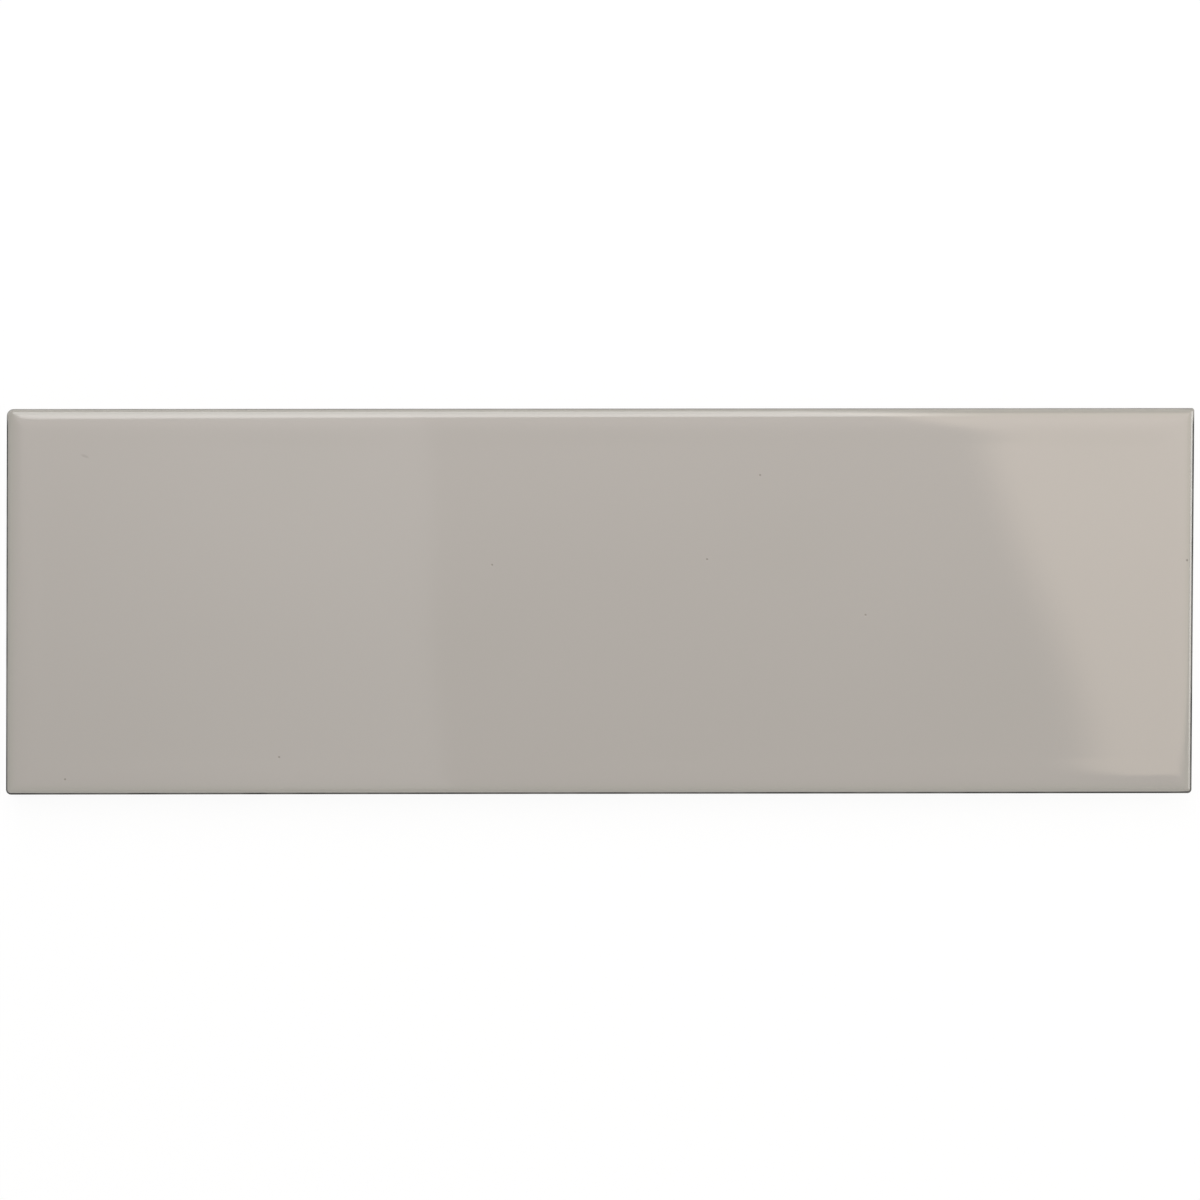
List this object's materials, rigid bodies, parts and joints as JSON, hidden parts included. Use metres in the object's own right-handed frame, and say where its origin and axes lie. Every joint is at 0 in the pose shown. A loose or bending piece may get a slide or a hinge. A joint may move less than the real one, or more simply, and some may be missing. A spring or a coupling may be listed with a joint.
{
  "type": "ceramic brick tile",
  "caption": "Long rectangular glazed ceramic wall tile in brick format, with a cushioned face edge, rounded corners and a ribbed key back for adhesive.",
  "frame": {"origin": "middle of the back, on the plane of the key ribs", "axes": "+X along the length, +Y across the width, +Z out of the glazed face"},
  "size_m": [0.2, 0.065, 0.007],
  "materials": {
    "glazed_ceramic": "gloss warm grey glaze over a pale fired biscuit that stays bare on the back and the lower sides"
  },
  "bodies": {
    "root": {"brick_tile": "glazed_ceramic"}
  },
  "joints": []
}
